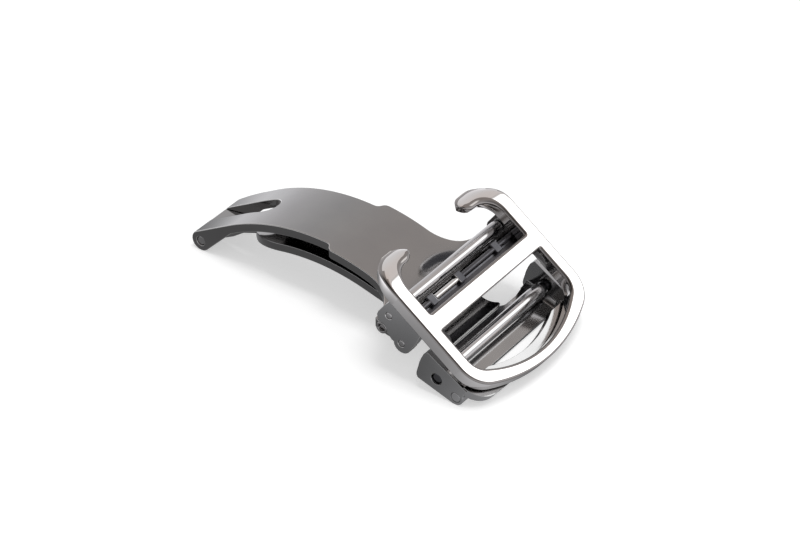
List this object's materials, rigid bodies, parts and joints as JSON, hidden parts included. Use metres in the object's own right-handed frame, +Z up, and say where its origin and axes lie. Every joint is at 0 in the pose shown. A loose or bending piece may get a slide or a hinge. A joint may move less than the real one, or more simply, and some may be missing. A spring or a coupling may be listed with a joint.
{
  "type": "deployant clasp",
  "caption": "Folding watch-strap clasp: two hinged curved blades, a D-shaped top frame with hooks, side plates, strap roller, clamp comb and spring bar.",
  "frame": {"origin": "centre of the bounding box's bottom, on the table that the closed clasp lies on", "axes": "+X along the strap towards the D end, +Y across the strap to the far side, +Z up"},
  "size_m": [0.0466, 0.0222, 0.0127],
  "materials": {
    "frame_polish": "mirror-polished stainless steel",
    "blade_polish": "polished stainless steel with fine lengthwise grain",
    "side_polish": "polished stainless steel sheet",
    "pin_steel": "ground and polished steel pin",
    "spring_wire": "drawn spring wire",
    "dark_pin": "dark steel core"
  },
  "bodies": {
    "base": {"lower_blade": "blade_polish", "lug_bracket": "side_polish", "bar_barrel": "pin_steel", "bar_spring": "spring_wire", "tail_pins": "pin_steel"},
    "upper": {"upper_blade": "blade_polish", "hinge_pin": "pin_steel", "top_frame": "frame_polish", "side_plate_near": "side_polish", "side_plate_far": "side_polish", "roller_pin": "pin_steel", "blade_pin": "pin_steel", "stop_tube": "pin_steel", "tube_pin": "dark_pin"},
    "roller": {"strap_roller": "pin_steel"},
    "clamp": {"clamp_comb": "side_polish", "clamp_cheek_near": "side_polish", "clamp_cheek_far": "side_polish"},
    "tip_near": {"bar_tip_near": "pin_steel"},
    "tip_far": {"bar_tip_far": "pin_steel"}
  },
  "joints": [
    {"name": "blade_fold", "type": "hinge", "parent": "base", "child": "upper", "pos_m": [-0.02202, 0, 0.00127], "axis": [0, -1, 0], "range_deg": [0, 165]},
    {"name": "roller_spin", "type": "hinge", "parent": "upper", "child": "roller", "pos_m": [0.00945, 0, 0.00811], "axis": [0, 1, 0], "continuous": true},
    {"name": "clamp_swing", "type": "hinge", "parent": "upper", "child": "clamp", "pos_m": [0.01112, 0, 0.00512], "axis": [0, -1, 0], "range_deg": [0, 7]},
    {"name": "tip_near_slide", "type": "slide", "parent": "base", "child": "tip_near", "axis": [0, 1, 0], "range_m": [0, 0.0012], "stiffness_N_per_m": 400, "springref_m": -0.0005},
    {"name": "tip_far_slide", "type": "slide", "parent": "base", "child": "tip_far", "axis": [0, -1, 0], "range_m": [0, 0.0012], "stiffness_N_per_m": 400, "springref_m": -0.0005}
  ]
}
